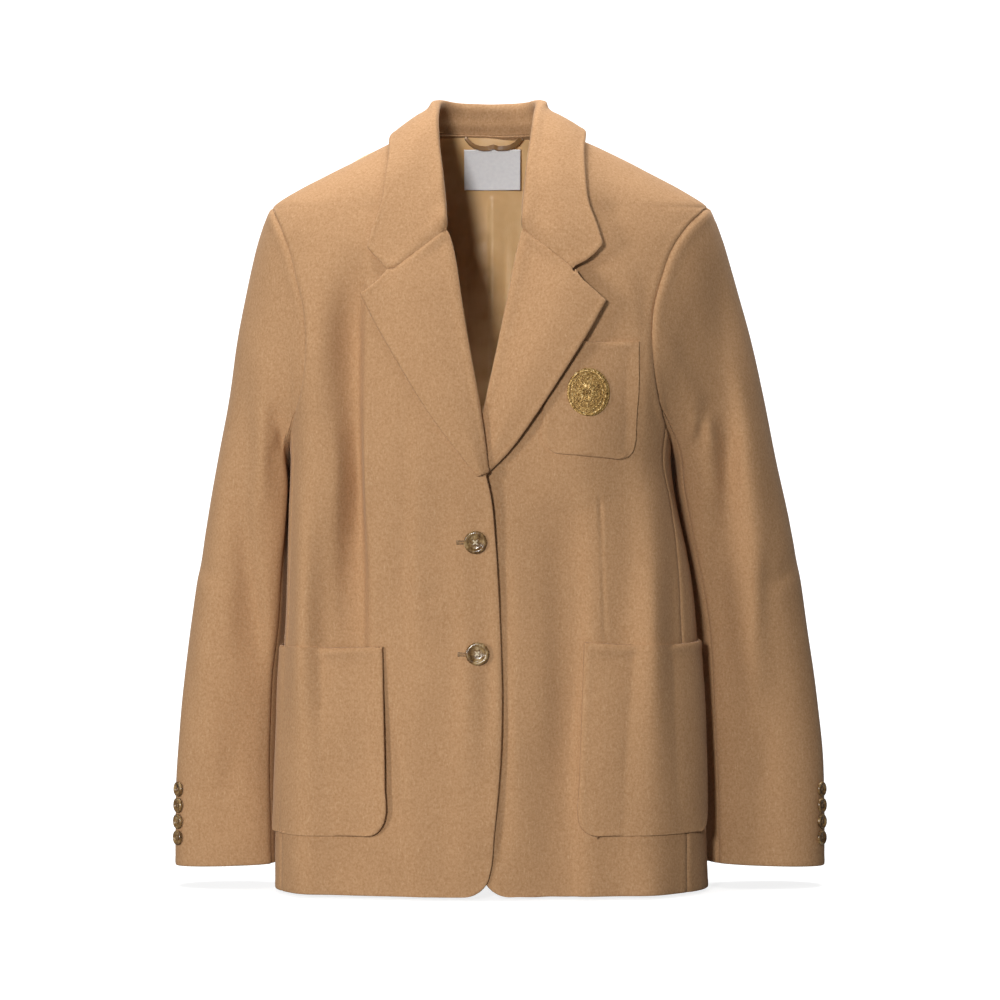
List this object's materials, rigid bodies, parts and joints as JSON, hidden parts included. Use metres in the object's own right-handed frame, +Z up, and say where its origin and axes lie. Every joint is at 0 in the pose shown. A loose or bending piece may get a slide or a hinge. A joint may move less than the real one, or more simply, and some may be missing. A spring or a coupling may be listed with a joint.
{
  "type": "single-breasted jacket",
  "caption": "Camel wool single-breasted jacket with notched lapels and patch pockets, filled out as when worn, open at neck, hem and cuffs.",
  "frame": {"origin": "inside the neck, level with the back neck seam, where a wearer carries the jacket", "axes": "+Z up, -Y the way the fronts face, +X the wearer's left, which is the viewer's right from in front"},
  "size_m": [0.6308, 0.2312, 0.7578],
  "materials": {
    "wool": "brushed felted wool with a short nap, matt",
    "satin": "golden tan satin lining",
    "horn": "mottled brown horn, polished",
    "gold_thread": "metallic gold embroidery thread",
    "label": "white woven label, blank"
  },
  "bodies": {
    "root": {"back": "wool", "back_lining": "satin", "chest_pocket": "wool", "collar": "wool", "cuff_button_left_1": "horn", "cuff_button_left_2": "horn", "cuff_button_left_3": "horn", "cuff_button_left_4": "horn", "cuff_button_right_1": "horn", "cuff_button_right_2": "horn", "cuff_button_right_3": "horn", "cuff_button_right_4": "horn", "emblem": "gold_thread", "front_button_1": "horn", "front_button_2": "horn", "front_left": "wool", "front_right": "wool", "hanger_loop": "satin", "label": "label", "lapel_left": "wool", "lapel_right": "wool", "pocket_left": "wool", "pocket_right": "wool", "side_left": "wool", "side_right": "wool", "top_sleeve_left": "wool", "top_sleeve_right": "wool", "under_sleeve_left": "wool", "under_sleeve_right": "wool"}
  },
  "joints": []
}
